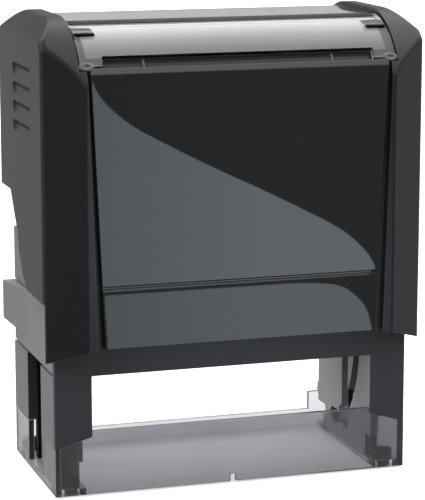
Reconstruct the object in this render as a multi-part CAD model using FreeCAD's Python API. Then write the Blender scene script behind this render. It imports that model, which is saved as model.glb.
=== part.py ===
import FreeCAD, Part
import math
import os

# Self inking stamp, in millimetres. +Z is up, X is the long side and -Y is the front.
# The origin is the middle of the footprint, on the surface that the stamp stands on.

# Stroke and stamping line
cap_travel = 20.0
text_reach = 5.5

# Fits
running_clearance = 0.05
slide_clearance = 0.3
cam_clearance = 0.3
cartridge_gap = 0.4
window_gap = 0.3
card_gap = 0.1
panel_gap = 0.7
cap_side_clearance = 0.6
cap_over_cartridge = 1.1
cap_over_ground = 8.4
cap_over_frame = 6.8
post_end_gap = 5.0
pad_rest_gap = 1.1
carrier_end_play = 1.7

# Lower frame
frame_half_width = 38.0
frame_half_depth = 18.3
frame_wall = 1.6
rear_corner_chamfer = 1.0
leg_width = 7.8
leg_depth = 3.3
column_rise = 8.2

# Clear skirt
base_wall = 1.2
base_floor = 1.2
base_front_height = 13.3
base_end_height = 10.0
base_leg_inner_height = 12.1
base_floor_width = 6.5
rear_sill_height = 4.0
rear_step_height = 8.0
rear_step_width = 8.5
rear_corner_width = 6.1
centre_notch_width = 1.2
centre_notch_height = 1.6

# Feet in the corners of the skirt
foot_radius = 2.1
foot_height = 3.6
foot_inset_x = 3.6
foot_inset_y = 3.5

# End frames with the cam plates
column_thickness = 2.0
column_slot_half_width = 6.0
cam_plate_thickness = 1.6
cam_plate_rear_inset = 1.7
cam_plate_foot_half_depth = 12.0
cam_plate_foot_height = 5.0
channel_half_depth = 8.0
channel_back = 0.7
web_thickness = 1.5
shelf_thickness = 1.4
rear_leg_width = 5.3
gusset_reach = 6.2
gusset_drop = 3.0

# Drive arms
arm_thickness = 1.5
arm_half_width = 5.5
arm_tail = 3.5
arm_foot_length = 5.0
arm_foot_thickness = 1.6

# Die that turns over
axle_radius = 1.5
cam_pin_radius = 1.3
cam_pin_offset = 7.0
cam_pin_grip = 5.0
carrier_half_width = 12.0
carrier_back_half_width = 8.0
carrier_back = 2.5
carrier_front = 2.9
cushion_thickness = 0.7
plate_end_margin = 0.9
plate_side_margin = 1.0
plate_sheet = 0.7
relief_margin = 1.6
relief_line = 1.0
relief_bar_width = 2.4

# Ink cartridge
pad_side_margin = 1.2
pad_thickness = 4.1
pad_stand_out = 1.5
tray_wall = 2.0
tray_roof = 2.2
tray_front_gap = 1.2
cartridge_rear_inset = 0.5
ear_height = 13.2
ear_thickness = 1.7
grip_height = 10.2
grip_start = 8.0
grip_flare = 2.6
grip_tip_length = 1.2
grip_web_front = 9.0

# Return springs
spring_x = 22.0
spring_mean_radius = 4.3
spring_wire_radius = 0.45
spring_turns = 9.5
post_radius = 3.3
frame_post_height = 10.0

# Cap
cap_height = 97.0
cap_wall = 1.8
cap_corner_wall = 1.5
cap_backing_wall = 1.6
cap_rail_stand_out = 6.3
cap_front_corner_out = 1.5
cap_rear_corner_out = 0.0
cap_rail_width = 7.9
cap_ridge_width = 7.0
cap_edge_bevel_width = 3.9
cap_edge_bevel_height = 4.5
cap_bottom_inner_rise = 2.6
cap_bottom_front_rise = 3.1
cap_side_rise = 11.6
cap_edge_round = 1.5
rail_round_run = 17.1
rail_round_radius = 17.8

# Cut-out in the cap's end walls: points of (y, height above the wall's bottom edge)
side_curve = ((-5.0, 0.6), (-1.0, 3.6), (1.8, 7.7), (3.0, 11.7), (6.0, 15.4))
side_curve_end = 1.0

# Finger grooves in the cap's end walls
groove_depth = 0.5
groove_radius = 2.0
groove_front = -11.0
groove_rear = 5.0
groove_top_drop = 11.5
groove_pitch = 3.95
groove_count = 4

# Front and rear panels
panel_inset = 0.6
panel_thickness = 1.4
panel_top_margin = 1.2
panel_bottom_margin = 3.7
panel_top_drop = 9.2
panel_line_rise = 12.5
panel_line_width = 0.5
panel_line_depth = 0.3
panel_bevel = 1.2
panel_bevel_depth = 0.7

# Index window and card on the top
window_top_drop = 1.0
window_edge_drop = 7.0
window_round_run = 15.0
window_round_radius = 16.2
window_thickness = 1.2
tab_length = 5.0
tab_edge_drop = 8.8
tab_slit_drop = 3.2
tab_slit_height = 0.6
tab_slit_inner_margin = 0.3
tab_slit_outer_margin = 0.4
card_thickness = 0.3
card_end_margin = 1.9

# Widths worked out from the frame's ends inwards
column_inner_x = frame_half_width - column_thickness
arm_outer_x = column_inner_x - slide_clearance
arm_inner_x = arm_outer_x - arm_thickness
channel_floor_x = arm_inner_x - slide_clearance
cam_plate_outer_x = channel_floor_x - channel_back
cam_plate_inner_x = cam_plate_outer_x - cam_plate_thickness
upper_half_width = channel_floor_x - slide_clearance
carrier_half_length = cam_plate_inner_x - carrier_end_play
plate_half_length = carrier_half_length - plate_end_margin
relief_half_length = plate_half_length - relief_margin
tray_half_length = cam_plate_inner_x - cartridge_gap
pad_half_length = tray_half_length - tray_wall
leg_inner_x = frame_half_width - leg_width
base_floor_inner_x = frame_half_width - base_floor_width
rear_step_inner_x = frame_half_width - rear_step_width
rear_step_outer_x = frame_half_width - rear_corner_width
rear_leg_inner_x = frame_half_width - rear_leg_width
foot_x = frame_half_width - foot_inset_x

# Widths of the cap
cap_inner_x = frame_half_width + cap_side_clearance
cap_half_width = cap_inner_x + cap_wall
cap_rail_inner_x = cap_half_width - cap_rail_width
cap_ridge_x = cap_half_width - cap_edge_bevel_width
cap_ridge_inner_x = cap_half_width - cap_ridge_width
panel_top_half_width = cap_rail_inner_x - panel_top_margin
panel_bottom_half_width = cap_rail_inner_x - panel_bottom_margin
tab_inner_x = cap_ridge_inner_x - tab_length
card_half_length = cap_ridge_inner_x - card_end_margin

# Depths
front_inner_y = frame_half_depth - frame_wall
foot_y = frame_half_depth - foot_inset_y
cam_plate_rear = frame_half_depth - cam_plate_rear_inset
tray_front = front_inner_y - tray_front_gap
ear_front = front_inner_y - slide_clearance
cartridge_back = frame_half_depth - cartridge_rear_inset
plate_half_width = carrier_half_width - plate_side_margin
relief_half_width = plate_half_width - relief_margin
pad_half_width = plate_half_width + pad_side_margin
cap_rail_half_depth = frame_half_depth + cap_rail_stand_out
cap_front_corner = frame_half_depth + cap_front_corner_out
cap_rear_corner = frame_half_depth + cap_rear_corner_out
panel_plane = cap_rail_half_depth - panel_inset
panel_back = panel_plane - panel_thickness
cap_cavity_y = panel_back - cap_backing_wall
rail_round_y = cap_rail_half_depth - rail_round_run
window_round_y = panel_plane - window_round_run

# Heights, from the stamping line up
axle_rest_z = text_reach + cap_travel
pad_face_z = axle_rest_z + text_reach + pad_rest_gap
cartridge_top = pad_face_z + pad_thickness + tray_roof
ear_bottom = cartridge_top - ear_height
grip_bottom = cartridge_top - grip_height
crossbar_bottom = ear_bottom - cartridge_gap
shelf_bottom = cartridge_top + cartridge_gap
deck_bottom = shelf_bottom + shelf_thickness
deck_top = deck_bottom + frame_wall
column_top = deck_top + column_rise
cap_bottom_corner = cap_travel + cap_over_ground
cap_bottom_inner = cap_bottom_corner + cap_bottom_inner_rise
cap_bottom_front = cap_bottom_corner + cap_bottom_front_rise
cap_side_bottom = cap_bottom_corner + cap_side_rise
cap_bottom_rear = cartridge_top + cap_travel + cap_over_cartridge

# Heights, from the top of the cap down
cap_edge_z = cap_height - cap_edge_bevel_height
rail_round_z = cap_height - rail_round_radius
window_top = cap_height - window_top_drop
window_edge_z = cap_height - window_edge_drop
tab_edge_z = cap_height - tab_edge_drop
tab_slit_z = cap_height - tab_slit_drop
panel_top = cap_height - panel_top_drop
groove_top_z = cap_height - groove_top_drop
panel_line_z = cap_bottom_front + panel_line_rise
window_round_z = window_top - window_round_radius
tab_inner_radius = window_round_radius - window_thickness
tab_inner_z = window_round_z + tab_inner_radius * (tab_edge_z - window_round_z) / window_round_radius
seat_radius = tab_inner_radius - card_thickness - card_gap
cavity_radius = seat_radius - cap_backing_wall
cap_inner_top = window_round_z + cavity_radius
frame_top = cap_inner_top - cap_travel - cap_over_frame
cap_post_length = cap_inner_top - cap_travel - deck_top - frame_post_height - post_end_gap

# Cutters reach past the object by this much, and past a single wall by the smaller value
far = 200.0
beyond = 1.0


def box(x0, x1, y0, y1, z0, z1):
    """Block between two corners."""
    return Part.makeBox(x1 - x0, y1 - y0, z1 - z0, FreeCAD.Vector(x0, y0, z0))


def both_ends(shape):
    """A shape together with its mirror image in the YZ plane."""
    return shape.fuse(mirrored(shape))


def mirrored(shape):
    """Mirror image in the YZ plane."""
    return shape.mirror(FreeCAD.Vector(0, 0, 0), FreeCAD.Vector(1, 0, 0))


def prism(points, direction):
    """Solid of a closed outline of points, drawn out along a vector."""
    face = Part.Face(Part.makePolygon(points + points[:1]))
    return face.extrude(direction)


def prism_x(outline, x0, x1):
    """Solid of an outline of (y, z) points between two X values."""
    points = [FreeCAD.Vector(x0, y, z) for y, z in outline]
    return prism(points, FreeCAD.Vector(x1 - x0, 0, 0))


def prism_y(outline, y0, y1):
    """Solid of an outline of (x, z) points between two Y values."""
    points = [FreeCAD.Vector(x, y0, z) for x, z in outline]
    return prism(points, FreeCAD.Vector(0, y1 - y0, 0))


def prism_z(outline, z0, z1):
    """Solid of an outline of (x, y) points between two Z values."""
    points = [FreeCAD.Vector(x, y, z0) for x, y in outline]
    return prism(points, FreeCAD.Vector(0, 0, z1 - z0))


def rod_x(x0, x1, y, z, radius):
    """Round rod along X."""
    return Part.makeCylinder(radius, x1 - x0, FreeCAD.Vector(x0, y, z), FreeCAD.Vector(1, 0, 0))


def rod_z(x, y, z0, z1, radius):
    """Round rod along Z."""
    return Part.makeCylinder(radius, z1 - z0, FreeCAD.Vector(x, y, z0), FreeCAD.Vector(0, 0, 1))


def both_sides(outline):
    """Outline of (x, z) points on the +X side, closed by its mirror image."""
    return outline + [(-x, z) for x, z in reversed(outline)]


def crowned(half_depth, bottom, round_y, round_z, radius, x0, x1):
    """Solid whose side view has upright walls and a top rounded into them by two arcs."""
    shoulder = round_z + math.sqrt(radius ** 2 - (half_depth - round_y) ** 2)
    middle = (math.atan2(shoulder - round_z, half_depth - round_y) + math.pi / 2) / 2
    arc_y = round_y + radius * math.cos(middle)
    arc_z = round_z + radius * math.sin(middle)

    def at(y, z):
        return FreeCAD.Vector(x0, y, z)

    edges = [
        Part.LineSegment(at(-half_depth, bottom), at(-half_depth, shoulder)).toShape(),
        Part.Arc(at(-half_depth, shoulder), at(-arc_y, arc_z), at(-round_y, round_z + radius)).toShape(),
        Part.LineSegment(at(-round_y, round_z + radius), at(round_y, round_z + radius)).toShape(),
        Part.Arc(at(round_y, round_z + radius), at(arc_y, arc_z), at(half_depth, shoulder)).toShape(),
        Part.LineSegment(at(half_depth, shoulder), at(half_depth, bottom)).toShape(),
        Part.LineSegment(at(half_depth, bottom), at(-half_depth, bottom)).toShape(),
    ]
    return Part.Face(Part.Wire(edges)).extrude(FreeCAD.Vector(x1 - x0, 0, 0))


def axle_slot(x0, x1):
    """Cutter for the upright slot that the axle goes down in."""
    half = axle_radius + slide_clearance
    low = axle_rest_z - cap_travel
    slot = box(x0, x1, -half, half, low, axle_rest_z)
    return slot.multiFuse([rod_x(x0, x1, 0, low, half), rod_x(x0, x1, 0, axle_rest_z, half)])


def curved_slot(path, half_width, x0, x1):
    """Cutter of constant width with round ends that follows a path of (y, z) points."""
    points = [FreeCAD.Vector(y, z, 0) for y, z in path]
    outline = Part.makePolygon(points).makeOffset2D(half_width, join=0, fill=False, openResult=False)
    flat = Part.Face(outline).extrude(FreeCAD.Vector(0, 0, x1 - x0))
    turned = FreeCAD.Matrix(0, 0, 1, x0, 1, 0, 0, 0, 0, 1, 0, 0, 0, 0, 0, 1)
    return flat.transformGeometry(turned)


def cam_path():
    """Path of a cam pin while the axle goes down and the die turns over."""
    steps = 24
    path = []
    for step in range(steps + 1):
        turn = math.pi * step / steps
        drop = cap_travel * step / steps
        pin_y = -cam_pin_offset * math.cos(turn)
        pin_z = axle_rest_z - drop - cam_pin_offset * math.sin(turn)
        path.append((pin_y, pin_z))
    return path


def clear_base():
    """Clear skirt: front window, low rear sill, end walls and the floor strips under the ends."""
    w, d = frame_half_width, frame_half_depth
    front = both_sides([(w, 0), (w, base_end_height), (leg_inner_x, base_leg_inner_height),
                        (leg_inner_x, base_front_height)])
    rear = both_sides([(w, 0), (w, base_end_height), (rear_step_outer_x, base_end_height),
                       (rear_step_outer_x, rear_step_height), (rear_step_inner_x, rear_step_height),
                       (rear_step_inner_x, rear_sill_height)])
    skirt = prism_y(front, -d, base_wall - d)
    skirt = skirt.fuse(prism_y(rear, d - base_wall, d))
    end = box(w - base_wall, w, -d, d, 0, base_end_height)
    end = end.cut(box(0, far, -column_slot_half_width, column_slot_half_width, base_floor, far))
    floor = box(base_floor_inner_x, w, -d, d, 0, base_floor)
    for y in (-foot_y, foot_y):
        floor = floor.cut(rod_z(foot_x, y, -1, base_floor + 1, foot_radius))
    skirt = skirt.fuse(both_ends(end.fuse(floor)))
    notch = centre_notch_width / 2
    skirt = skirt.cut(box(-notch, notch, -far, 0, -1, centre_notch_height))
    return skirt.removeSplitter()


def base_feet():
    """Four soft feet, flush with the bottom of the skirt."""
    feet = [rod_z(x, y, 0, foot_height, foot_radius) for x in (-foot_x, foot_x) for y in (-foot_y, foot_y)]
    return Part.makeCompound(feet)


def end_frame():
    """Right end frame: outer columns, cam plate, webs, shelf and rear leg in one moulding."""
    d = frame_half_depth
    outer = box(column_inner_x, frame_half_width, base_wall - d, d, base_end_height, column_top)
    outer = outer.cut(box(0, far, ear_column_y(), far, crossbar_bottom, shelf_bottom))
    outer = outer.cut(box(0, far, -column_slot_half_width, column_slot_half_width, 0, shelf_bottom))
    foot = cam_plate_foot_half_depth
    step_z = base_floor + cam_plate_foot_height
    front = leg_depth - d
    plate = prism_x([(-foot, base_floor), (foot, base_floor), (foot, step_z), (cam_plate_rear, step_z),
                     (cam_plate_rear, deck_bottom), (front, deck_bottom), (front, step_z), (-foot, step_z)],
                    cam_plate_inner_x, cam_plate_outer_x)
    bay_front = grip_web_front - slide_clearance
    plate = plate.cut(box(0, far, bay_front, far, crossbar_bottom, shelf_bottom))
    shelf = box(cam_plate_inner_x, frame_half_width, -cam_plate_rear, cam_plate_rear,
                shelf_bottom, deck_bottom)
    shelf = shelf.cut(arm_hole())
    web_end = channel_half_depth + web_thickness
    front_web = box(cam_plate_outer_x, column_inner_x, -web_end, -channel_half_depth,
                    base_end_height, shelf_bottom)
    rear_web = box(cam_plate_outer_x, column_inner_x, channel_half_depth, web_end,
                   base_end_height, crossbar_bottom)
    rear_leg = box(rear_leg_inner_x, frame_half_width, front_inner_y, d, base_end_height, crossbar_bottom)
    gusset = prism_y([(rear_leg_inner_x, crossbar_bottom), (rear_leg_inner_x - gusset_reach, crossbar_bottom),
                      (rear_leg_inner_x, crossbar_bottom - gusset_drop)], front_inner_y, d)
    end = outer.multiFuse([plate, shelf, front_web, rear_web, rear_leg, gusset])
    end = end.cut(chamfer_cutter(crossbar_bottom))
    x0, x1 = cam_plate_inner_x - beyond, cam_plate_outer_x
    end = end.cut(axle_slot(x0, x1))
    end = end.cut(curved_slot(cam_path(), cam_pin_radius + cam_clearance, x0, x1))
    return end.removeSplitter()


def arm_hole():
    """Cutter for the hole that the right drive arm goes down through."""
    return box(channel_floor_x, column_inner_x, -column_slot_half_width, column_slot_half_width, 0, far)


def ear_column_y():
    """Y value of the front column's back face beside the cartridge ear."""
    return -ear_front - slide_clearance


def chamfer_cutter(bottom):
    """Cutter that takes the rear right corner off whatever stands above a height."""
    w, d, c = frame_half_width, frame_half_depth, rear_corner_chamfer
    return prism_z([(w, d - c), (w + c, d - c), (w + c, d + c), (w - c, d + c), (w - c, d)], bottom, far)


def guide_channel():
    """Right channel that the drive arm runs in, set between the cam plate and the columns."""
    half = channel_half_depth
    channel = box(cam_plate_outer_x, column_inner_x, -half, half, base_floor, shelf_bottom)
    channel = channel.cut(box(channel_floor_x, far, -column_slot_half_width, column_slot_half_width, 0, far))
    behind_skirt = frame_half_width - base_wall - slide_clearance
    channel = channel.cut(box(behind_skirt, far, -half, half, 0, base_end_height))
    return channel.cut(axle_slot(cam_plate_outer_x - 1, channel_floor_x + 1))


def inner_frame():
    """Black frame: front legs, crossbar, deck over the cartridge and the box that the cap slides on."""
    w, d = frame_half_width, frame_half_depth
    legs = prism_y([(w, base_end_height), (w, crossbar_bottom), (leg_inner_x, crossbar_bottom),
                    (leg_inner_x, base_leg_inner_height)], -d, leg_depth - d)
    front = box(-w, w, -d, -front_inner_y, crossbar_bottom, column_top)
    rear = box(-w, w, front_inner_y, d, shelf_bottom, column_top)
    upper = box(-upper_half_width, upper_half_width, -d, d, deck_bottom, frame_top)
    hollow = upper_half_width - frame_wall
    upper = upper.cut(box(-hollow, hollow, -front_inner_y, front_inner_y, deck_top, far))
    deck = box(-w, w, -d, d, deck_bottom, deck_top)
    deck = deck.cut(both_ends(arm_hole()))
    frame = front.multiFuse([rear, upper, deck, both_ends(legs)])
    column_space = box(column_inner_x, far, base_wall - d, far, 0, column_top)
    frame = frame.cut(both_ends(column_space.fuse(chamfer_cutter(0))))
    for x in (-spring_x, spring_x):
        frame = frame.fuse(rod_z(x, 0, deck_bottom, deck_top + frame_post_height, post_radius))
    return frame.removeSplitter()


def spring():
    """Right return spring, from the deck of the inner frame up to the top of the cap."""
    wire = spring_wire_radius
    height = cap_inner_top - deck_top - 2 * wire
    path = Part.makeHelix(height / spring_turns, height, spring_mean_radius)
    start = FreeCAD.Vector(spring_mean_radius, 0, 0)
    section = Part.Wire(Part.makeCircle(wire, start, FreeCAD.Vector(0, 1, 0)))
    coil = Part.Wire(path).makePipeShell([section], True, True)
    coil.translate(FreeCAD.Vector(spring_x, 0, deck_top + wire))
    return coil


def drive_arm():
    """Right drive arm: carries the axle in an eye and is held under the top of the cap."""
    half = arm_half_width
    arm = box(arm_inner_x, arm_outer_x, -half, half, axle_rest_z - arm_tail, cap_inner_top)
    foot_z = cap_inner_top - arm_foot_thickness
    arm = arm.fuse(box(arm_inner_x - arm_foot_length, arm_outer_x, -half, half, foot_z, cap_inner_top))
    eye = rod_x(arm_inner_x - 1, arm_outer_x + 1, 0, axle_rest_z, axle_radius + running_clearance)
    return arm.cut(eye).removeSplitter()


def die_carrier():
    """Carrier of the text plate, face up at rest, with bores for the axle and the cam pins."""
    z = axle_rest_z
    a, b = carrier_half_width, carrier_back_half_width
    carrier = prism_x([(-b, z - carrier_back), (b, z - carrier_back), (a, z), (a, z + carrier_front),
                       (-a, z + carrier_front), (-a, z)], -carrier_half_length, carrier_half_length)
    carrier = carrier.cut(rod_x(-far, far, 0, z, axle_radius))
    pin_hole = rod_x(carrier_half_length - cam_pin_grip, far, -cam_pin_offset, z, cam_pin_radius)
    return carrier.cut(both_ends(pin_hole))


def foam_cushion():
    """Foam layer between the carrier and the text plate."""
    z = axle_rest_z + carrier_front
    return box(-plate_half_length, plate_half_length, -plate_half_width, plate_half_width,
               z, z + cushion_thickness)


def text_plate():
    """Rubber plate with a plain raised border and plain bars, and no lettering."""
    bottom = axle_rest_z + carrier_front + cushion_thickness
    top = axle_rest_z + text_reach
    plate = box(-plate_half_length, plate_half_length, -plate_half_width, plate_half_width,
                bottom, bottom + plate_sheet)
    length, width, line = relief_half_length, relief_half_width, relief_line
    border = box(-length, length, -width, width, bottom, top)
    border = border.cut(box(line - length, length - line, line - width, width - line, bottom, top))
    bars = []
    for row, share in ((-1, 0.5), (0, 0.7), (1, 0.6)):
        y = row * 2 * relief_bar_width
        half = relief_bar_width / 2
        bars.append(box(-length * share, length * share, y - half, y + half, bottom, top))
    return plate.multiFuse([border] + bars).removeSplitter()


def die_axle():
    """Steel axle through the carrier, whose ends run in the eyes of the drive arms."""
    end = arm_outer_x - running_clearance
    return rod_x(-end, end, 0, axle_rest_z, axle_radius)


def cam_pin():
    """Right cam pin, from its grip in the carrier to just inside the cam plate's outer face."""
    start = carrier_half_length - cam_pin_grip
    return rod_x(start, cam_plate_outer_x - slide_clearance, -cam_pin_offset, axle_rest_z, cam_pin_radius)


def cartridge_tray():
    """Tray of the ink pad, with an ear at each end that flares out into a finger grip."""
    rim = pad_face_z + pad_stand_out
    ceiling = pad_face_z + pad_thickness
    tray = box(-tray_half_length, tray_half_length, -tray_front, cartridge_back, rim, cartridge_top)
    tray = tray.cut(box(-pad_half_length, pad_half_length, -pad_half_width, pad_half_width, 0, ceiling))
    w = frame_half_width
    inner = w - ear_thickness
    tip = cartridge_back - grip_tip_length
    ear = prism_z([(inner, -ear_front), (w, -ear_front), (w, grip_start), (w + grip_flare, tip),
                   (w + grip_flare, cartridge_back), (inner, cartridge_back)], ear_bottom, cartridge_top)
    slant_end = w + grip_flare + beyond
    below_grip = prism_y([(slant_end, grip_bottom + grip_flare), (w, grip_bottom), (w, 0), (far, 0),
                          (far, grip_bottom + grip_flare)], -far, far)
    ear = ear.cut(below_grip)
    web = box(tray_half_length - 1, w, grip_web_front, cartridge_back, grip_bottom, cartridge_top)
    web = web.cut(box(0, tray_half_length, 0, far, 0, rim))
    return tray.fuse(both_ends(ear.fuse(web))).removeSplitter()


def ink_pad():
    """Ink pad, set in the tray and facing down to the text plate."""
    return box(-pad_half_length, pad_half_length, -pad_half_width, pad_half_width,
               pad_face_z, pad_face_z + pad_thickness)


def cap_envelope():
    """Outside of the cap as one solid: slanted corner rails, rounded top and bevelled edges."""
    w, rail = cap_half_width, cap_rail_half_depth
    plan = prism_z([(w, -cap_front_corner), (w, cap_rear_corner), (cap_rail_inner_x, rail),
                    (-cap_rail_inner_x, rail), (-w, cap_rear_corner), (-w, -cap_front_corner),
                    (-cap_rail_inner_x, -rail), (cap_rail_inner_x, -rail)], 0, cap_height)
    side = crowned(rail, 0, rail_round_y, rail_round_z, rail_round_radius, -far, far)
    front = prism_y(both_sides([(w, cap_bottom_corner), (w, cap_edge_z), (cap_ridge_x, cap_height),
                                (0, cap_height)])[:-1] +
                    [(-w, cap_bottom_corner), (-cap_rail_inner_x, cap_bottom_inner),
                     (-leg_inner_x, cap_bottom_front), (leg_inner_x, cap_bottom_front),
                     (cap_rail_inner_x, cap_bottom_inner)], -far, far)
    solid = plan.common(side).common(front)
    lowest = cap_bottom_front + beyond
    edges = []
    for edge in solid.Edges:
        bounds = edge.BoundBox
        if bounds.ZMax > lowest and bounds.XMin * bounds.XMax > 0:
            edges.append(edge)
    return solid.makeFillet(cap_edge_round, edges)


def finger_grooves():
    """Cutter for the row of scooped grooves in the right end wall."""
    radius = groove_radius
    axis_x = cap_half_width + radius - groove_depth
    reach = math.sqrt(radius ** 2 - (radius - groove_depth) ** 2)
    front, rear = groove_front + reach, groove_rear - reach
    grooves = []
    for row in range(groove_count):
        z = groove_top_z - row * groove_pitch
        start = FreeCAD.Vector(axis_x, front, z)
        grooves.append(Part.makeCylinder(radius, rear - front, start, FreeCAD.Vector(0, 1, 0)))
        for y in (front, rear):
            grooves.append(Part.makeSphere(radius, FreeCAD.Vector(axis_x, y, z)))
    return grooves[0].multiFuse(grooves[1:])


def corner_inset(corner_y):
    """Inside corners of a slanted rail wall: where it meets the end wall and the backing wall."""
    run = cap_half_width - cap_rail_inner_x
    rise = cap_rail_half_depth - corner_y
    length = math.hypot(run, rise)
    reach = (rise * cap_half_width + run * corner_y) / length - cap_corner_wall
    at_end = (reach * length - rise * cap_inner_x) / run
    at_backing = (reach * length - run * cap_cavity_y) / rise
    return at_end, at_backing


def cap_cavity():
    """Hollow of the cap, open at the bottom."""
    front_y, front_x = corner_inset(cap_front_corner)
    rear_y, rear_x = corner_inset(cap_rear_corner)
    deep = cap_cavity_y
    right = [(front_x, -deep), (cap_inner_x, -front_y), (cap_inner_x, rear_y), (rear_x, deep)]
    plan = prism_z(both_sides(right), -1, cap_inner_top)
    side = crowned(deep, -1, window_round_y, window_round_z, cavity_radius, -far, far)
    return plan.common(side)


def side_opening():
    """Cutter for the cut-out in an end wall that leaves the finger grip free at full stroke."""
    curve = [(y, cap_side_bottom + rise) for y, rise in side_curve]
    outline = [(-far, cap_side_bottom)] + curve
    outline += [(grip_start + side_curve_end, cap_bottom_rear), (far, cap_bottom_rear), (far, -1), (-far, -1)]
    return prism_x(outline, cap_inner_x, far)


def panel_outline(gap):
    """Outline of a panel, grown by a gap."""
    return both_sides([(panel_bottom_half_width + gap, cap_bottom_front),
                       (panel_top_half_width + gap, panel_top)])


def cap_shell():
    """Cap moulding: corner rails, end walls, top deck, backing walls and two spring posts."""
    shell = cap_envelope().cut(cap_cavity())
    deep_panel = both_sides([(panel_bottom_half_width + panel_gap, 0),
                             (panel_top_half_width + panel_gap, window_edge_z)])
    for side in (-1, 1):
        y0, y1 = sorted((side * panel_back, side * far))
        shell = shell.cut(prism_y(deep_panel, y0, y1))
    above_seat = box(-cap_ridge_inner_x, cap_ridge_inner_x, -far, far, tab_inner_z - window_gap, far)
    seat = crowned(panel_back - 0.01, 0, window_round_y, window_round_z, seat_radius, -far, far)
    shell = shell.cut(above_seat.cut(seat))
    front_ends = box(-far, far, -far, -cap_front_corner, 0, far)
    shell = shell.cut(both_ends(side_opening()).cut(front_ends))
    shell = shell.cut(box(-cap_inner_x, cap_inner_x, 0, far, 0, cap_bottom_rear))
    shell = shell.cut(both_ends(finger_grooves()))
    for x in (-spring_x, spring_x):
        shell = shell.fuse(rod_z(x, 0, cap_inner_top - cap_post_length, cap_inner_top + 0.5, post_radius))
    return shell.removeSplitter()


def panel(side):
    """Gloss panel at the front, or the shorter one at the rear."""
    y0, y1 = sorted((side * panel_back, side * panel_plane))
    plate = prism_y(panel_outline(0), y0, y1)
    low, high = panel_top - panel_bevel, panel_top + 1
    shallow = side * (panel_plane - panel_bevel_depth * (high - low) / panel_bevel)
    bevel = [(side * panel_plane, low), (side * far, low), (side * far, high), (shallow, high)]
    plate = plate.cut(prism_x(bevel, -far, far))
    if side > 0:
        return plate.cut(box(-far, far, 0, far, 0, cap_bottom_rear))
    half = panel_line_width / 2
    line = box(-far, far, y0 - 1, y0 + panel_line_depth, panel_line_z - half, panel_line_z + half)
    return plate.cut(line)


def curved_sheet(outer_radius, inner_radius, half_length, edge_z):
    """Sheet over the top that curves down at the front and the rear to an edge, cut square to the curve."""
    rise = edge_z - window_round_z
    run = math.sqrt(window_round_radius ** 2 - rise ** 2)
    reach = window_round_y + run
    outer = crowned(reach, 0, window_round_y, window_round_z, outer_radius, -half_length, half_length)
    inner = crowned(reach, -1, window_round_y, window_round_z, inner_radius, -far, far)
    low_y, low_z = window_round_y + far, window_round_z + far * rise / run
    below = prism_x([(window_round_y, window_round_z), (low_y, low_z), (low_y, -far), (-low_y, -far),
                     (-low_y, low_z), (-window_round_y, window_round_z)], -far, far)
    return outer.cut(inner).cut(below)


def index_window():
    """Clear cover over the index card, with a longer tab and a slit at each end."""
    half = cap_ridge_inner_x - window_gap
    inner_radius = window_round_radius - window_thickness
    window = curved_sheet(window_round_radius, inner_radius, half, window_edge_z)
    tabs = curved_sheet(window_round_radius, inner_radius, half, tab_edge_z)
    tabs = tabs.common(both_ends(box(tab_inner_x, far, -far, far, 0, far)))
    window = window.fuse(tabs)
    slit_half = tab_slit_height / 2
    slit = box(tab_inner_x + tab_slit_inner_margin, half - tab_slit_outer_margin, -far, far,
               tab_slit_z - slit_half, tab_slit_z + slit_half)
    slit = slit.cut(box(0, far, -window_round_y, window_round_y, 0, far))
    return window.cut(both_ends(slit)).removeSplitter()


def index_card():
    """Blank white card under the window."""
    top = window_round_radius - window_thickness - card_gap / 2
    return curved_sheet(top, top - card_thickness, card_half_length, window_edge_z)


def write(name, shape):
    """Check a node's solids and write them to its STEP file."""
    if not shape.isValid():
        raise ValueError(name + " is not a valid solid")
    shape.exportStep("parts/" + name + ".step")
    print(name, len(shape.Solids), round(shape.Volume, 1))


os.makedirs("parts", exist_ok=True)

write("clear_base", clear_base())
write("base_feet", base_feet())
write("inner_frame", inner_frame())
write("die_carrier", die_carrier())
write("foam_cushion", foam_cushion())
write("text_plate", text_plate())
write("die_axle", die_axle())
write("cartridge_tray", cartridge_tray())
write("ink_pad", ink_pad())
write("cap_shell", cap_shell())
write("front_panel", panel(-1))
write("rear_panel", panel(1))
write("index_window", index_window())
write("index_card", index_card())

for name, make in (("end_frame", end_frame), ("guide_channel", guide_channel), ("spring", spring),
                   ("drive_arm", drive_arm), ("cam_pin", cam_pin)):
    right = make()
    write(name + "_right", right)
    write(name + "_left", mirrored(right))
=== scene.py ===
"""Looks of a self inking stamp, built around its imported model.

Lengths are in metres. +Z is up, X is the long side, -Y is the front, and the origin is the middle of
the footprint. Each sub-assembly is a class that shapes its pieces and dresses them with a finish.
"""
import logging
import math
from dataclasses import dataclass
from enum import Enum
from functools import cache
from itertools import product
from typing import Callable, Dict, List, Optional, Sequence, Tuple

import bmesh
import bpy
from mathutils import Matrix, Vector, noise


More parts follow.
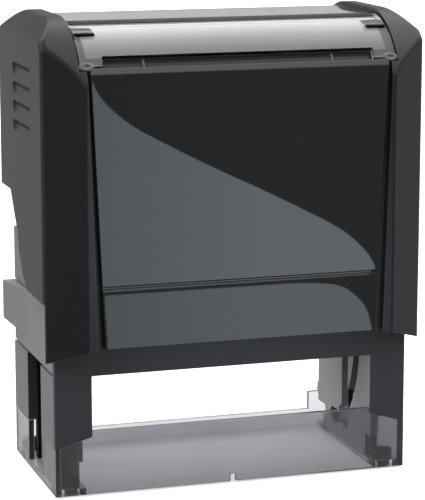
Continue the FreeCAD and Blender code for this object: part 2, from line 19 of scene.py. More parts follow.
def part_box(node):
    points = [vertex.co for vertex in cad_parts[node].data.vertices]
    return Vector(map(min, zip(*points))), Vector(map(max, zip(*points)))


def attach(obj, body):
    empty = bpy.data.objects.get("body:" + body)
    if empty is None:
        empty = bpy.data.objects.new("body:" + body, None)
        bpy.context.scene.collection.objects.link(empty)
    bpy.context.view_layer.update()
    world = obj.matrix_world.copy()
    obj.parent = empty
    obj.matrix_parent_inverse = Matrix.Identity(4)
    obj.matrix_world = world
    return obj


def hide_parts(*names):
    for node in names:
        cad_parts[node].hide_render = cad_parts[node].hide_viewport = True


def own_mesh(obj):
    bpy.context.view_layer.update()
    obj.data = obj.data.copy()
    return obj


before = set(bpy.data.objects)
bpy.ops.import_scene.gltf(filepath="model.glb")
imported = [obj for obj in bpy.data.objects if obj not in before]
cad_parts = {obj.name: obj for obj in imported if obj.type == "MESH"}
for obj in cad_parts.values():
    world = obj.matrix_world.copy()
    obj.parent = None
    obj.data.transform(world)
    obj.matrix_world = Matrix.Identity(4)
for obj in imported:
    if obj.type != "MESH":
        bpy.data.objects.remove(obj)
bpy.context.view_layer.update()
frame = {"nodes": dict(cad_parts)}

log = logging.getLogger("stamp")
MM = 0.001
WELD = 0.002 * MM
FLAT = math.radians(1.0)
FINE_RELIEF = 0.01 * MM
WHITE = (1.0, 1.0, 1.0, 1.0)
Point = Tuple[float, float, float]
Pair = Tuple[float, float]
Colour = Tuple[float, float, float]
Socket = bpy.types.NodeSocket
Piece = bpy.types.Object


class Body(Enum):
    """Bodies that the pieces move with."""

    FRAME = "frame"
    CAP = "cap"
    DIE = "die"
    CARTRIDGE = "cartridge"


class Side(Enum):
    """Ends of the stamp, with the sign of X at each."""

    RIGHT = 1
    LEFT = -1

    @property
    def label(self) -> str:
        """Word for this end in the names of pieces."""
        return self.name.lower()


class Waves:
    """Waves per metre of the noise behind each pattern."""

    DRIFT = 45.0
    STAIN = 240.0
    WEAR = 260.0
    SPECKS = 900.0
    FIBRES = 1100.0
    PITS = 1700.0
    MARKS = 4200.0
    GRAIN = 5200.0


# Node trees


class Tree:
    """Small helper that adds and joins the nodes of one node tree."""

    def __init__(self, tree: bpy.types.NodeTree) -> None:
        """Take the tree of a material, a world or a node group."""
        self.tree = tree

    def node(self, kind: str, given: Optional[Dict] = None, **settings: object) -> bpy.types.Node:
        """Add a node.

        Args:
            kind: Type name of the node.
            given: What each input gets, by the input's name or number.
            **settings: Properties to set on the node.

        Returns:
            The new node.
        """
        made = self.tree.nodes.new(kind)
        for name, value in settings.items():
            setattr(made, name, value)
        for name, value in (given or {}).items():
            self.give(made.inputs[name], value)
        return made

    def give(self, socket: Socket, value: object) -> None:
        """Set an input to a plain value, or link it to an output.

        Args:
            socket: Input of a node.
            value: Plain value, or an output to link from.
        """
        if isinstance(value, bpy.types.NodeSocket):
            self.tree.links.new(value, socket)
        else:
            socket.default_value = value

    def math(self, operation: str, *values: object) -> Socket:
        """Give the output of a new Math node, from numbers or outputs."""
        return self.node("ShaderNodeMath", dict(enumerate(values)), operation=operation).outputs[0]

    def spread(self, value: Socket, low: object, high: object, start: object = 0.0,
               end: object = 1.0) -> Socket:
        """Map a value from the range start to end to the range low to high, without going past it."""
        return self.node("ShaderNodeMapRange", {"Value": value, "From Min": start, "From Max": end,
                                                "To Min": low, "To Max": high}).outputs["Result"]


class Shader(Tree):
    """Helper for a material's tree or a shader group."""

    def place(self) -> Socket:
        """Give the position on a piece, in its own coordinates."""
        return self.node("ShaderNodeTexCoord").outputs["Object"]

    def axes(self, vector: Socket) -> Sequence[Socket]:
        """Give a vector's X, Y and Z."""
        return self.node("ShaderNodeSeparateXYZ", {0: vector}).outputs

    def noise(self, scale: float, detail: float, vector: Socket, stretch: Point = (1.0, 1.0, 1.0)) -> Socket:
        """Give noise from 0 to 1, from its waves per metre, octaves, position and scale of each axis."""
        spot = self.node("ShaderNodeMapping", {"Scale": stretch, "Vector": vector}).outputs[0]
        return self.node("ShaderNodeTexNoise", {"Scale": scale, "Detail": detail, "Vector": spot}).outputs[0]

    def mix(self, share: Socket, first: object, second: object) -> Socket:
        """Mix two colours, where a share of 0 gives the first."""
        return self.node("ShaderNodeMix", {0: share, 6: first, 7: second}, data_type="RGBA").outputs[2]

    def shade(self, colour: object, factor: Socket) -> Socket:
        """Make a colour lighter or darker by a factor."""
        return self.node("ShaderNodeHueSaturation", {"Color": colour, "Value": factor}).outputs[0]

    def bump(self, height: Socket, strength: float, distance: float) -> Socket:
        """Give the normal of fine relief, from its height, how much of it shows and its depth."""
        return self.node("ShaderNodeBump", {"Strength": strength, "Distance": distance,
                                            "Height": height}).outputs[0]

    def group(self, tree: bpy.types.NodeTree, given: Optional[Dict] = None) -> Dict[str, Socket]:
        """Use a shader group, and give its outputs by name."""
        return self.node("ShaderNodeGroup", given, node_tree=tree).outputs

    def surface(self, given: Dict[str, object]) -> None:
        """Set or link inputs of the material's main shader, by name."""
        for name, value in given.items():
            self.give(self.tree.nodes["Principled BSDF"].inputs[name], value)


def new_material(name: str) -> Tuple[bpy.types.Material, Shader]:
    """Start a material.

    Args:
        name: Its name.

    Returns:
        The material and its tree's helper.
    """
    material = bpy.data.materials.new(name)
    material.use_nodes = True
    return material, Shader(material.node_tree)


def new_group(name: str, inputs: Dict[str, object], *outputs: str) -> Tuple[Shader, Dict, Dict]:
    """Start a shader node group.

    Args:
        name: Name of the group.
        inputs: Default of each input by its name, a number or a colour.
        *outputs: Name of each output. One called Colour is a colour, and any other is a number.

    Returns:
        The helper for its tree, its inputs by name and its output sockets by name.
    """
    tree = bpy.data.node_groups.new(name, "ShaderNodeTree")
    for label, value in inputs.items():
        kind = "NodeSocketColor" if isinstance(value, tuple) else "NodeSocketFloat"
        tree.interface.new_socket(label, in_out="INPUT", socket_type=kind).default_value = value
    for label in outputs:
        kind = "NodeSocketColor" if label == "Colour" else "NodeSocketFloat"
        tree.interface.new_socket(label, in_out="OUTPUT", socket_type=kind)
    shader = Shader(tree)
    return shader, shader.node("NodeGroupInput").outputs, shader.node("NodeGroupOutput").inputs


@cache
def moulded_group() -> bpy.types.NodeTree:
    """Group for injection moulded plastic: grain, slow colour change and a little dust.

    Returns:
        The node group. It puts out Colour, Roughness and Height.
    """
    shader, given, out = new_group(
        "moulded_surface",
        {"Colour": (0.1, 0.1, 0.1, 1.0), "Dust Colour": (0.3, 0.3, 0.3, 1.0), "Dust": 0.05,
         "Roughness": 0.4, "Roughness Spread": 0.05, "Grain": 1.0}, "Colour", "Roughness", "Height")
    place = shader.place()
    slow = shader.noise(Waves.DRIFT, 3.0, place)
    grain = shader.noise(Waves.GRAIN, 2.0, place)
    pits = shader.noise(Waves.PITS, 3.0, place)
    specks = shader.spread(shader.noise(Waves.SPECKS, 4.0, place), 0.0, 1.0, 0.66, 0.74)
    dust = shader.math("MULTIPLY", specks, given["Dust"])
    drift = shader.shade(given["Colour"], shader.spread(slow, 0.9, 1.1))
    shader.give(out["Colour"], shader.mix(dust, drift, given["Dust Colour"]))
    swing = shader.math("MULTIPLY", shader.math("SUBTRACT", slow, 0.5), given["Roughness Spread"])
    rough = shader.math("ADD", given["Roughness"], swing)
    shader.give(out["Roughness"], shader.math("ADD", rough, shader.math("MULTIPLY", dust, 0.5)))
    relief = shader.math("ADD", grain, shader.math("MULTIPLY", pits, 0.8))
    shader.give(out["Height"], shader.math("MULTIPLY", relief, given["Grain"]))
    return shader.tree


@cache
def wear_group() -> bpy.types.NodeTree:
    """Group for the faint polish that handling leaves on convex edges.

    Returns:
        The node group. It puts out Mask, 1 on a worn edge.
    """
    shader, given, out = new_group("edge_polish", {"Amount": 0.3}, "Mask")
    rounded = shader.node("ShaderNodeBevel", {"Radius": 0.45 * MM}, samples=6)
    normal = shader.node("ShaderNodeNewGeometry").outputs["Normal"]
    turned = shader.node("ShaderNodeVectorMath", {0: rounded.outputs[0], 1: normal}, operation="DOT_PRODUCT")
    sharp = shader.spread(turned.outputs["Value"], 1.0, 0.0, 0.86, 0.985)
    broken = shader.spread(shader.noise(Waves.WEAR, 4.0, shader.place()), 0.35, 1.0, 0.35, 0.6)
    mask = shader.math("MULTIPLY", shader.math("MULTIPLY", sharp, broken), given["Amount"])
    shader.give(out["Mask"], mask)
    return shader.tree


@cache
def fibre_group() -> bpy.types.NodeTree:
    """Group for matted fibres, as in felt and card.

    Returns:
        The node group. It puts out Shade and Height.
    """
    shader, given, out = new_group("matted_fibres", {"Scale": 1.0}, "Shade", "Height")
    spot = shader.node("ShaderNodeVectorMath", {0: shader.place(), "Scale": given["Scale"]},
                       operation="SCALE").outputs[0]
    along, across = [shader.noise(Waves.FIBRES, 4.0, spot, stretch)
                     for stretch in ((1.0, 6.0, 6.0), (6.0, 1.0, 6.0))]
    mat = shader.math("MAXIMUM", along, across)
    shader.give(out["Shade"], shader.spread(mat, 0.82, 1.12, 0.35, 0.75))
    shader.give(out["Height"], mat)
    return shader.tree


# Finishes


@dataclass(frozen=True)
class Finish:
    """A finish: its material's name and the slot that it fills."""

    name: str
    slot: str

    @cache
    def material(self) -> bpy.types.Material:
        """Give the material, built at its first use.

        Returns:
            The material.
        """
        material, shader = new_material(self.name)
        self.paint(shader)
        return material

    def paint(self, shader: Shader) -> None:
        """Join up the surface, which each kind of finish does its own way."""
        raise NotImplementedError


@dataclass(frozen=True)
class MouldedPlastic(Finish):
    """Opaque injection moulded plastic or rubber, from matt to polished."""

    colour: Colour
    roughness: float
    grain: float = 1.0
    grain_depth: float = 0.02 * MM
    dust: float = 0.06
    dust_colour: Colour = (0.32, 0.32, 0.33)
    spread: float = 0.06
    polish: float = 0.25
    polish_colour: Colour = (0.2, 0.2, 0.21)
    polish_gloss: float = 0.2
    specular: float = 0.5

    def paint(self, shader: Shader) -> None:
        """Join up the grained surface with its worn edges.

        Args:
            shader: The tree's helper.
        """
        surface = shader.group(moulded_group(), {
            "Colour": (*self.colour, 1.0), "Dust Colour": (*self.dust_colour, 1.0), "Dust": self.dust,
            "Roughness": self.roughness, "Roughness Spread": self.spread, "Grain": self.grain})
        worn = shader.group(wear_group(), {"Amount": self.polish})["Mask"]
        smoother = shader.math("MULTIPLY", worn, self.polish_gloss)
        shader.surface({"Base Color": shader.mix(worn, surface["Colour"], (*self.polish_colour, 1.0)),
                        "Roughness": shader.math("SUBTRACT", surface["Roughness"], smoother),
                        "Specular IOR Level": self.specular,
                        "Normal": shader.bump(surface["Height"], 0.35, self.grain_depth)})


@dataclass(frozen=True)
class ClearPlastic(Finish):
    """Clear moulded plastic with a slight tint."""

    colour: Colour
    roughness: float
    clarity: float = 1.0
    haze: float = 0.03
    grain: float = 0.25
    index: float = 1.49

    def paint(self, shader: Shader) -> None:
        """Join up the clear surface.

        Args:
            shader: The tree's helper.
        """
        tint = (*self.colour, 1.0)
        surface = shader.group(moulded_group(), {
            "Colour": tint, "Dust Colour": tint, "Roughness": self.roughness, "Roughness Spread": self.haze,
            "Grain": self.grain})
        shader.surface({"Base Color": surface["Colour"], "Roughness": surface["Roughness"],
                        "Transmission Weight": self.clarity, "IOR": self.index,
                        "Normal": shader.bump(surface["Height"], 0.12, FINE_RELIEF)})


@dataclass(frozen=True)
class DrawnSteel(Finish):
    """Bright steel with fine marks along its length and a faint stain."""

    colour: Colour = (0.6, 0.6, 0.61)
    roughness: float = 0.24
    stretch: Point = (0.05, 1.0, 1.0)
    stain: float = 0.72

    def paint(self, shader: Shader) -> None:
        """Join up the marked surface.

        Args:
            shader: The tree's helper.
        """
        place = shader.place()
        marks = shader.noise(Waves.MARKS, 4.0, place, self.stretch)
        clean = shader.spread(shader.noise(Waves.STAIN, 3.0, place), 0.2, 1.0, 0.35, 0.6)
        stained = (*[part * self.stain for part in self.colour], 1.0)
        height = shader.math("ADD", marks, shader.math("MULTIPLY", shader.group(wear_group())["Mask"], 0.2))
        shader.surface({"Base Color": shader.mix(clean, stained, (*self.colour, 1.0)), "Metallic": 1.0,
                        "Roughness": shader.spread(marks, self.roughness - 0.07, self.roughness + 0.1),
                        "Normal": shader.bump(height, 0.2, FINE_RELIEF)})


@dataclass(frozen=True)
class Fibrous(Finish):
    """Felt or foam: a matt stuff of matted fibres or cells."""

    colour: Colour
    roughness: float
    scale: float = 1.0
    relief: float = 0.05 * MM
    sheen: float = 0.0
    spread: float = 0.06

    def paint(self, shader: Shader) -> None:
        """Join up the matted surface.

        Args:
            shader: The tree's helper.
        """
        fibres = shader.group(fibre_group(), {"Scale": self.scale})
        low, high = self.roughness - self.spread, self.roughness + self.spread
        shader.surface({"Base Color": shader.shade((*self.colour, 1.0), fibres["Shade"]),
                        "Roughness": shader.spread(fibres["Height"], low, high), "Sheen Weight": self.sheen,
                        "Normal": shader.bump(fibres["Height"], 0.5, self.relief)})


@dataclass(frozen=True)
class PaintedShadeCard(Finish):
    """Blank card with plain bands of grey that run along it: painted shade over the middle and towards the
    lower edges, with a painted highlight band between.
    """

    bands: Tuple[Pair, ...]
    reach: float
    scale: float = 2.2
    roughness: float = 0.55

    def paint(self, shader: Shader) -> None:
        """Join up the surface with its painted shade and highlight bands.

        Args:
            shader: The tree's helper.
        """
        away = shader.math("ABSOLUTE", shader.axes(shader.place())[1])
        painted_shade_ramp = shader.node("ShaderNodeValToRGB", {0: shader.math("DIVIDE", away, self.reach)})
        ramp = painted_shade_ramp.color_ramp
        while len(ramp.elements) < len(self.bands):
            ramp.elements.new(1.0)
        for element, (spot, grey) in zip(ramp.elements, self.bands):
            element.position = spot / self.reach
            element.color = (grey, grey * 1.01, grey * 1.03, 1.0)
        fibres = shader.group(fibre_group(), {"Scale": self.scale})
        faint = shader.spread(fibres["Shade"], 0.97, 1.03, 0.82, 1.12)
        shader.surface({"Base Color": shader.shade(painted_shade_ramp.outputs[0], faint), "Roughness": self.roughness,
                        "Normal": shader.bump(fibres["Height"], 0.3, FINE_RELIEF)})


class Finishes:
    """Every finish of the stamp."""

    cap = MouldedPlastic("cap_satin_black", "satin_black", (0.012, 0.013, 0.0155), 0.40)
    panel = MouldedPlastic("panel_gloss_black", "gloss_black", (0.019, 0.0193, 0.0195), 0.02, grain=0.05,
                           dust=0.01, spread=0.01, polish=0.0)
    frame = MouldedPlastic("frame_matt_black", "frame_black", (0.052, 0.054, 0.060), 0.46)
    hidden = MouldedPlastic("inner_matt_black", "frame_black", (0.010, 0.0105, 0.012), 0.55, polish=0.1,
                            specular=0.1)
    # Duller finish that comes out darker than the cap: painted shade under the window's edge and on the
    # downward faces of the finger grooves.
    recess_shade = MouldedPlastic("recess_painted_shade_black", "satin_black", (0.026, 0.027, 0.030), 0.6, polish=0.0,
                            specular=0.15)
    carrier = MouldedPlastic("carrier_matt_black", "frame_black", (0.03, 0.031, 0.034), 0.45)
    pale = MouldedPlastic("end_frame_grey", "pale_grey", (0.19, 0.194, 0.206), 0.4, dust=0.1)
    # Lighter copy of the end frame's grey for faces that look into the opening between the legs: painted
    # light.
    inner_painted_light = MouldedPlastic("inner_face_painted_light_grey", "pale_grey", (0.46, 0.465, 0.485), 0.4, polish=0.0)
    cartridge = MouldedPlastic("cartridge_grey", "cartridge_grey", (0.245, 0.25, 0.264), 0.42, dust=0.1)
    skirt = ClearPlastic("skirt_clear_grey", "clear_smoke", (0.43, 0.436, 0.46), 0.1, clarity=0.9)
    # Lighter tint for the rear half of the same clear skirt: painted light.
    skirt_rear_painted_light = ClearPlastic("skirt_clear_rear_painted_light", "clear_smoke", (0.64, 0.645, 0.66), 0.1, clarity=0.93)
    window = ClearPlastic("window_clear", "clear_window", (0.97, 0.975, 0.98), 0.03)
    line = MouldedPlastic("score_line_grey", "clear_window", (0.09, 0.092, 0.096), 0.5, dust=0.0, polish=0.0)
    nub = MouldedPlastic("clip_satin_grey", "clear_window", (0.15, 0.153, 0.162), 0.3)
    foot = MouldedPlastic("foot_soft_rubber", "foot_rubber", (0.02, 0.02, 0.021), 0.7, grain=1.6)
    plate = MouldedPlastic("plate_rubber_red", "plate_rubber", (0.36, 0.085, 0.05), 0.62, grain=1.8,
                           polish_colour=(0.2, 0.04, 0.03))
    steel = DrawnSteel("ground_steel", "spring_steel")
    wire = DrawnSteel("spring_wire", "spring_steel", (0.55, 0.55, 0.57), 0.3, (1.0, 1.0, 1.0))
    # The card's grey bands are painted shade, with one painted highlight band between the dark ones.
    card = PaintedShadeCard("card_painted_shade", "white_card",
                      ((0.0, 0.15), (6.5 * MM, 0.12), (9.0 * MM, 0.16), (11.5 * MM, 0.5), (13.8 * MM, 0.80),
                       (15.4 * MM, 0.60), (17.6 * MM, 0.36), (20.0 * MM, 0.17)), 21.0 * MM)
    foam = Fibrous("white_foam", "foam_white", (0.78, 0.78, 0.75), 0.85, 3.0, 0.04 * MM)
    felt = Fibrous("inked_felt", "pad_felt", (0.012, 0.013, 0.05), 0.75, 1.0, 0.12 * MM, 0.35)


# Mesh building


def add_object(name: str, mesh: bpy.types.Mesh) -> Piece:
    """Put a mesh in the scene.

    Args:
        name: Name of the piece.
        mesh: Its mesh, already in place.

    Returns:
        The new object.
    """
    piece = bpy.data.objects.new(name, mesh)
    bpy.context.scene.collection.objects.link(piece)
    return piece


def smooth_object(name: str, work: bmesh.types.BMesh, sharp: float = math.pi) -> Piece:
    """Put a mesh that is being built in the scene, smooth but for its sharp edges.

    Args:
        name: Name of the piece.
        work: Its mesh, which is used up.
        sharp: Angle from which an edge is sharp.

    Returns:
        The new object.
    """
    for face in work.faces:
        face.smooth = True
    mesh = bpy.data.meshes.new(name)
    work.to_mesh(mesh)
    work.free()
    stored = mesh.attributes.get("custom_normal")
    if stored:
        mesh.attributes.remove(stored)
    mesh.set_sharp_from_angle(angle=sharp)
    return add_object(name, mesh)


def modify(piece: Piece, name: str, kind: str, **settings: object) -> bpy.types.Modifier:
    """Add a modifier.

    Args:
        piece: Object that gets it.
        name: Name of the modifier.
        kind: Its type.
        **settings: Properties to set on it.

    Returns:
        The modifier.
    """
    modifier = piece.modifiers.new(name, kind)
    for label, value in settings.items():
        setattr(modifier, label, value)
    return modifier


def baked(piece: Piece) -> Piece:
    """Replace a piece's mesh by its evaluated one and drop its modifiers.

    Args:
        piece: Object with live modifiers.

    Returns:
        The same object with a plain mesh.
    """
    bpy.context.view_layer.update()
    evaluated = piece.evaluated_get(bpy.context.evaluated_depsgraph_get())
    mesh = bpy.data.meshes.new_from_object(evaluated)
    piece.modifiers.clear()
    old, piece.data = piece.data, mesh
    bpy.data.meshes.remove(old)
    return piece


def rounded(name: str, node: str, width: float, angle: float = math.radians(28.0)) -> Piece:
    """Make a copy of a construction node with rounded edges.

    Args:
        name: Name of the new piece.
        node: Construction node to copy.
        width: Width of the rounding.
        angle: Angle from which an edge is rounded.

    Returns:
        The rounded copy, in place.
    """
    work = bmesh.new()
    work.from_mesh(frame["nodes"][node].data)
    bmesh.ops.remove_doubles(work, verts=work.verts, dist=WELD)
    bmesh.ops.dissolve_limit(work, angle_limit=FLAT, verts=work.verts, edges=work.edges, delimit={"NORMAL"})
    piece = smooth_object(name, work, angle)
    modify(piece, "edges", "BEVEL", width=width, segments=3, limit_method="ANGLE", angle_limit=angle,
           miter_outer="MITER_ARC", use_clamp_overlap=True)
    modify(piece, "normals", "WEIGHTED_NORMAL", weight=100, keep_sharp=True)
    return baked(piece)


def turned(name: str, profile: Sequence[Pair], places: Sequence[Matrix], steps: int = 40,
           sharp: float = math.radians(40.0)) -> Piece:
    """Turn a profile about the Z axis into a closed solid, and put a copy at each place.

    Args:
        name: Name of the piece that holds them all.
        profile: (radius, height) points from the middle of one end to the middle of the other.
        places: Transform of each copy.
        steps: Facets round the solid.
        sharp: Angle from which an edge is not smooth.

    Returns:
        The new piece, smooth shaded.
    """
    work = bmesh.new()
    points = [work.verts.new((radius, 0.0, height)) for radius, height in profile]
    edges = [work.edges.new(pair) for pair in zip(points, points[1:])]
    bmesh.ops.spin(work, geom=points + edges, cent=(0, 0, 0), axis=(0, 0, 1), angle=math.tau, steps=steps,
                   use_duplicate=False)
    bmesh.ops.remove_doubles(work, verts=work.verts, dist=WELD)
    bmesh.ops.recalc_face_normals(work, faces=work.faces)
    solid = bpy.data.meshes.new("solid")
    work.to_mesh(solid)
    work.clear()
    for place in places:
        copy = solid.copy()
        copy.transform(place)
        work.from_mesh(copy)
        bpy.data.meshes.remove(copy)
    bpy.data.meshes.remove(solid)
    return smooth_object(name, work, sharp)


@dataclass(frozen=True)
class Pillow:
    """Soft block with rounded edges, crowned a little on each broad face."""

    columns: int = 64
    rows: int = 36
    squareness: float = 26.0
    crown: float = 0.12 * MM
    ripple: float = 0.02 * MM
    ripple_waves: float = 900.0

    def spaced(self, step: int, count: int) -> float:
        """Give the place of a grid line from -1 to 1, where lines are closer near the ends."""
        along = 2.0 * step / count - 1.0
        return math.copysign(1.0 - (1.0 - abs(along)) ** 2.5, along)

    def point(self, u: float, v: float, half: Vector, sign: int) -> Vector:
        """Give a point of one broad face.

        Args:
            u: Place along X, from -1 to 1.
            v: Place along Y, from -1 to 1.
            half: Half of the block's size.
            sign: 1 for the top face and -1 for the bottom one.

        Returns:
            The point, from the middle of the block.
        """
        spot = Vector((u * half.x, v * half.y, 0.0))
        edge = max(0.0, 1.0 - abs(u) ** self.squareness) * max(0.0, 1.0 - abs(v) ** self.squareness)
        hollow = self.crown * (1.0 - (1.0 - u ** 4) * (1.0 - v ** 4))
        wave = noise.noise(spot * self.ripple_waves + Vector((0.0, 0.0, sign * 7.0)))
        depth = half.z - hollow + self.ripple * (wave - 1.0)
        spot.z = sign * max(0.0, depth * edge ** (1.0 / 6.0))
        return spot

    def of(self, name: str, node: str) -> Piece:
        """Make the soft block in the space of a construction node.

        Args:
            name: Name of the new piece.
            node: Construction node whose space it fills.

        Returns:
            The new piece.
        """
        low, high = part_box(node)
        middle, half = (low + high) / 2, (high - low) / 2
        work = bmesh.new()
        rim: Dict[Tuple[int, int], bmesh.types.BMVert] = {}
        for sign in (-1, 1):
            sheet = {}
            for row, column in product(range(self.rows + 1), range(self.columns + 1)):
                spot = row, column
                if spot not in rim:
                    flat = self.spaced(column, self.columns), self.spaced(row, self.rows)
                    sheet[spot] = work.verts.new(middle + self.point(*flat, half, sign))
                if row in (0, self.rows) or column in (0, self.columns):
                    sheet[spot] = rim.setdefault(spot, sheet.get(spot))
            for row, column in product(range(self.rows), range(self.columns)):
                corners = [sheet[row, column], sheet[row, column + 1], sheet[row + 1, column + 1],
                           sheet[row + 1, column]]
                work.faces.new(corners[::sign])
        return smooth_object(name, work)


class Recipe(Tree):
    """Geometry Nodes tree with named inputs, which makes one plain mesh each time it runs."""

    def __init__(self, name: str, inputs: Dict[str, str]) -> None:
        """Start the tree.

        Args:
            name: Name of the tree.
            inputs: Kind of each input by its name. A material input is added.
        """
        super().__init__(bpy.data.node_groups.new(name, "GeometryNodeTree"))
        self.tree.interface.new_socket("Geometry", in_out="OUTPUT", socket_type="NodeSocketGeometry")
        self.identifiers: Dict[str, str] = {}
        for label, kind in {**inputs, "Material": "Material"}.items():
            socket = self.tree.interface.new_socket(label, in_out="INPUT", socket_type="NodeSocket" + kind)
            self.identifiers[label] = socket.identifier
        self.given = self.node("NodeGroupInput").outputs

    def close(self, geometry: Socket) -> None:
        """End the tree: real geometry, smooth, with its material.

        Args:
            geometry: Geometry to put out.
        """
        real = self.node("GeometryNodeRealizeInstances", {0: geometry})
        smooth = self.node("GeometryNodeSetShadeSmooth", {0: real.outputs[0]})
        paint = self.node("GeometryNodeSetMaterial", {"Geometry": smooth.outputs[0],
                                                      "Material": self.given["Material"]})
        self.node("NodeGroupOutput", {0: paint.outputs[0]})

    def run(self, name: str, values: Dict[str, object], rounding: float = 0.0) -> Piece:
        """Make a piece.

        Args:
            name: Name of the piece.
            values: Value of each input, by its name.
            rounding: Width of the rounded edges, or 0 for none.

        Returns:
            The piece, with a plain mesh.
        """
        piece = add_object(name, bpy.data.meshes.new(name))
        modifier = modify(piece, name, "NODES", node_group=self.tree)
        for label, value in values.items():
            modifier[self.identifiers[label]] = value
        if rounding:
            modify(piece, "edges", "BEVEL", width=rounding, segments=2, harden_normals=True)
        return baked(piece)


@cache
def coil_recipe() -> Recipe:
    """Recipe for a compression spring with closed ends.

    Returns:
        The recipe. Its inputs are Height, Turns, Radius, Wire and Place.
    """
    recipe = Recipe("closed_end_coil", {"Height": "Float", "Turns": "Float", "Radius": "Float",
                                        "Wire": "Float", "Place": "Vector"})
    given = recipe.given
    spiral = recipe.node("GeometryNodeCurveSpiral", {
        "Resolution": 40, "Rotations": given["Turns"], "Start Radius": given["Radius"],
        "End Radius": given["Radius"]})
    along = recipe.node("GeometryNodeSplineParameter").outputs["Factor"]
    thick = recipe.math("MULTIPLY", given["Wire"], 2.0)
    dead = recipe.math("DIVIDE", 1.0, given["Turns"])
    late = recipe.math("SUBTRACT", 1.0, dead)
    free = recipe.math("SUBTRACT", given["Height"], recipe.math("MULTIPLY", thick, 3.0))
    rise = given["Wire"]
    for height, start, end in ((thick, 0.0, dead), (free, dead, late), (thick, late, 1.0)):
        rise = recipe.math("ADD", rise, recipe.spread(along, 0.0, height, start, end))
    spot = recipe.node("ShaderNodeSeparateXYZ", {0: recipe.node("GeometryNodeInputPosition").outputs[0]})
    lifted = recipe.node("ShaderNodeCombineXYZ", {"X": spot.outputs["X"], "Y": spot.outputs["Y"], "Z": rise})
    moved = recipe.node("ShaderNodeVectorMath", {0: lifted.outputs[0], 1: given["Place"]}, operation="ADD")
    path = recipe.node("GeometryNodeSetPosition", {"Geometry": spiral.outputs[0],
                                                   "Position": moved.outputs[0]})
    ring = recipe.node("GeometryNodeCurvePrimitiveCircle", {"Resolution": 12, "Radius": given["Wire"]})
    wire = recipe.node("GeometryNodeCurveToMesh", {"Curve": path.outputs[0], "Fill Caps": True,
                                                   "Profile Curve": ring.outputs[0]})
    recipe.close(wire.outputs[0])
    return recipe


@cache
def rib_recipe() -> Recipe:
    """Recipe for a row of equal bars.

    Returns:
        The recipe. Its inputs are Count, Start, Step, Size and Turn.
    """
    recipe = Recipe("rib_row", {"Count": "Int", "Start": "Vector", "Step": "Vector", "Size": "Vector",
                                "Turn": "Float"})
    given = recipe.given
    row = recipe.node("GeometryNodeMeshLine", {"Count": given["Count"], "Start Location": given["Start"],
                                               "Offset": given["Step"]})
    bar = recipe.node("GeometryNodeMeshCube", {"Size": given["Size"]})
    turn = recipe.node("ShaderNodeCombineXYZ", {"X": given["Turn"]})
    each = recipe.node("GeometryNodeInstanceOnPoints", {
        "Points": row.outputs["Mesh"], "Instance": bar.outputs["Mesh"], "Rotation": turn.outputs[0]})
    recipe.close(each.outputs[0])
    return recipe


# Sub-assemblies


class Assembly:
    """Pieces that move with one body. It dresses them and lets them ride on the body."""

    body: Body

    def fit(self, piece: Piece, finish: Finish, *nodes: str) -> Piece:
        """Dress a piece, let it ride on the body and stand for its nodes.

        Args:
            piece: Finished object.
            finish: Its finish.
            *nodes: Construction nodes that it stands for.

        Returns:
            The same object.
        """
        piece.data.materials.clear()
        piece.data.materials.append(finish.material())
        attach(piece, self.body.value)
        if nodes:
            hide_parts(*nodes)
        log.info("%s rides on %s, %d faces", piece.name, self.body.value, len(piece.data.polygons))
        return piece

    def mould(self, name: str, node: str, width: float, finish: Finish) -> Piece:
        """Make, dress and fit a copy of a construction node, with edges rounded by a width."""
        return self.fit(rounded(name, node, width), finish, node)

    def row(self, name: str, finish: Finish, rounding: float, **values: object) -> Piece:
        """Make, dress and fit a row of bars, from the values of the row's recipe."""
        return self.fit(rib_recipe().run(name, {**values, "Material": finish.material()}, rounding), finish)

    def face(self, piece: Piece, finish: Finish, picks: Callable[[Vector, Vector], bool]) -> None:
        """Put one more finish on some faces of a dressed piece.

        Args:
            piece: Dressed object.
            finish: Finish of those faces.
            picks: Tells from a face's middle and its normal whether it gets the finish.
        """
        piece.data.materials.append(finish.material())
        for polygon in piece.data.polygons:
            if picks(polygon.center, polygon.normal):
                polygon.material_index = len(piece.data.materials) - 1


def faces_middle(middle: Vector, way: Vector, axis: int, straight: float = 0.9) -> bool:
    """Tell from a face's middle and normal whether it looks straight at the middle across an axis."""
    return way[axis] * middle[axis] < -straight * abs(middle[axis])


